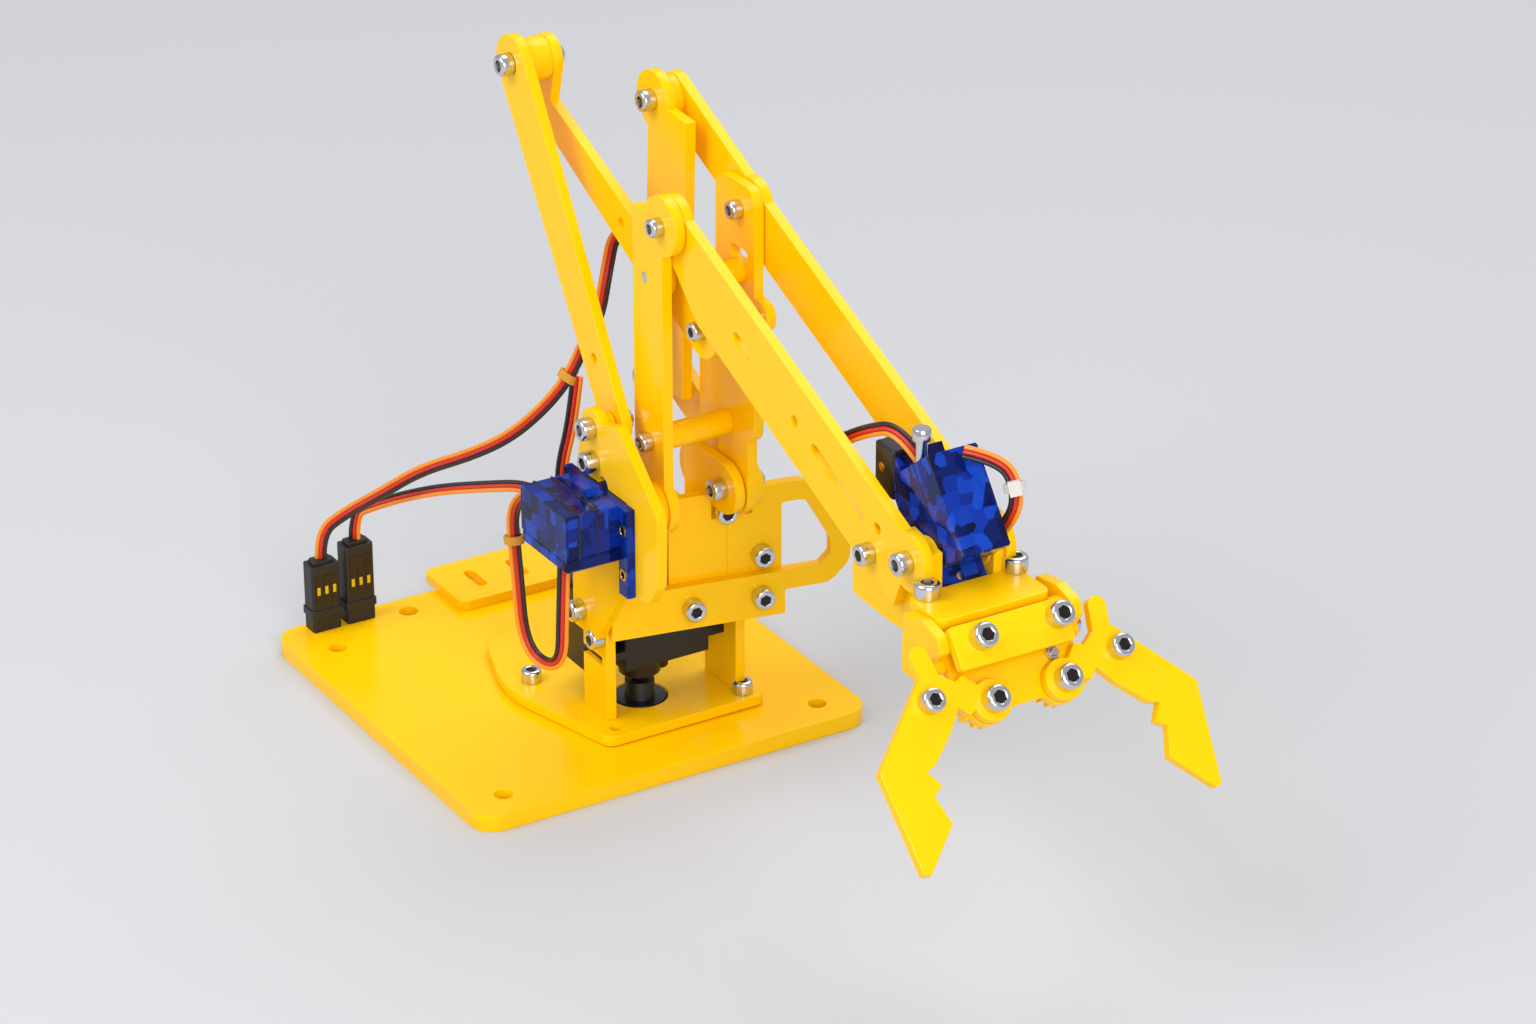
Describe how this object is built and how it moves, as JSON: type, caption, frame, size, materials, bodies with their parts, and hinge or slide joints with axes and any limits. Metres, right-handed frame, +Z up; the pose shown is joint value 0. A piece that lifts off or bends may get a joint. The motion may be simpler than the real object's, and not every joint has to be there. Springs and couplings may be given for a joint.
{
  "type": "desktop robot arm",
  "caption": "Small desk-top robot arm of yellow acrylic plates on a square base, with a turntable, servo shoulder, bar linkages and a geared two-claw gripper.",
  "frame": {"origin": "middle of the base plate's underside", "axes": "+X forward along the arm, +Y across it, +Z up"},
  "size_m": [0.2985, 0.127, 0.1925],
  "materials": {
    "acrylic": "gloss",
    "servo_blue": "gloss",
    "servo_black": "satin",
    "plug_plastic": "satin",
    "lead_sheath": "satin",
    "steel": "polished"
  },
  "bodies": {
    "base": {"base_plate": "acrylic", "rear_bracket": "acrylic", "inner_plug": "plug_plastic", "outer_plug": "plug_plastic", "base_horn": "servo_black"},
    "turret": {"turntable_plate": "acrylic", "left_support": "acrylic", "right_support": "acrylic", "base_servo": "servo_black", "front_bar": "acrylic", "front_panel": "acrylic", "hook_plate": "acrylic", "deck_plate": "acrylic", "side_wall": "acrylic", "far_bracket": "acrylic", "left_servo_plate": "acrylic", "left_servo": "servo_blue", "link_foot_pin": "steel", "shoulder_pin": "steel", "arm_lead": "lead_sheath", "shoulder_lead": "lead_sheath", "base_lead": "lead_sheath", "lead_loop": "lead_sheath"},
    "lower_arm": {"near_lower_arm": "acrylic", "shoulder_hub": "acrylic", "far_lower_arm": "acrylic", "inner_bar": "acrylic", "arm_ties": "acrylic", "arm_pins": "steel"},
    "level_crank": {"level_crank": "acrylic", "crank_pin": "steel"},
    "long_link": {"long_link": "acrylic"},
    "forearm": {"near_forearm": "acrylic", "far_forearm": "acrylic", "rear_bar_pin": "steel", "wrist_cheeks": "acrylic", "wrist_bosses": "acrylic", "gripper_servo": "servo_blue", "grip_top_plate": "acrylic", "palm_plate": "acrylic", "grip_front_plate": "acrylic", "palm_posts": "acrylic", "grip_ears": "acrylic", "idler_pins": "steel", "forearm_lead": "lead_sheath", "gripper_lead": "lead_sheath"},
    "elbow_lever": {"elbow_lever": "acrylic", "lever_pin": "steel"},
    "tall_link": {"tall_link": "acrylic"},
    "left_claw": {"left_claw": "acrylic", "left_gear_shaft": "steel"},
    "right_claw": {"right_claw": "acrylic", "right_gear_shaft": "steel"},
    "left_idler": {"left_idler": "steel"},
    "right_idler": {"right_idler": "steel"}
  },
  "joints": [
    {"name": "base_yaw", "type": "hinge", "parent": "base", "child": "turret", "pos_m": [0.029, 0.007, 0.005], "axis": [0, 0, 1], "range_deg": [-90, 90]},
    {"name": "shoulder", "type": "hinge", "parent": "turret", "child": "lower_arm", "pos_m": [0.049, 0, 0.077], "axis": [0, 1, 0], "range_deg": [-15, 18]},
    {"name": "elbow", "type": "hinge", "parent": "lower_arm", "child": "forearm", "pos_m": [0.05247, 0, 0.15973], "axis": [0, -1, 0], "range_deg": [-20, 30]},
    {"name": "gripper", "type": "hinge", "parent": "forearm", "child": "left_claw", "pos_m": [0.20058, 0.00725, 0.08431], "axis": [0.7986, 0, 0.6018], "range_deg": [-6, 48]},
    {"name": "gripper_right", "type": "hinge", "parent": "forearm", "child": "right_claw", "pos_m": [0.20058, 0.02875, 0.08431], "axis": [0.7986, 0, 0.6018], "range_deg": [-48, 6]},
    {"name": "left_idler_pivot", "type": "hinge", "parent": "forearm", "child": "left_idler", "pos_m": [0.19565, 0.013, 0.09084], "axis": [0.7986, 0, 0.6018], "range_deg": [-48, 6]},
    {"name": "right_idler_pivot", "type": "hinge", "parent": "forearm", "child": "right_idler", "pos_m": [0.19565, 0.023, 0.09084], "axis": [0.7986, 0, 0.6018], "range_deg": [-6, 48]},
    {"name": "crank_pivot", "type": "hinge", "parent": "lower_arm", "child": "level_crank", "pos_m": [0.04397, 0, 0.14223], "axis": [0, 1, 0], "range_deg": [-0.13, 0.16]},
    {"name": "link_pivot", "type": "hinge", "parent": "turret", "child": "long_link", "pos_m": [0.037, 0, 0.0985], "axis": [0, 1, 0], "range_deg": [-18.64, 22.37]},
    {"name": "lever_pivot", "type": "hinge", "parent": "lower_arm", "child": "elbow_lever", "pos_m": [0.049, 0, 0.077], "axis": [0, -1, 0], "range_deg": [-20, 30]},
    {"name": "tall_link_pivot", "type": "hinge", "parent": "forearm", "child": "tall_link", "pos_m": [0.01246, 0, 0.17804], "axis": [0, -1, 0], "range_deg": [-30, 20]}
  ],
  "couplings": [
    {"joint": "gripper_right", "follows": "gripper", "ratio": -1},
    {"joint": "left_idler_pivot", "follows": "gripper", "ratio": -1},
    {"joint": "right_idler_pivot", "follows": "gripper", "ratio": 1},
    {"joint": "crank_pivot", "follows": "shoulder", "ratio": 0.0086},
    {"joint": "link_pivot", "follows": "shoulder", "ratio": 1.2425},
    {"joint": "lever_pivot", "follows": "elbow", "ratio": 1},
    {"joint": "tall_link_pivot", "follows": "elbow", "ratio": -1}
  ]
}
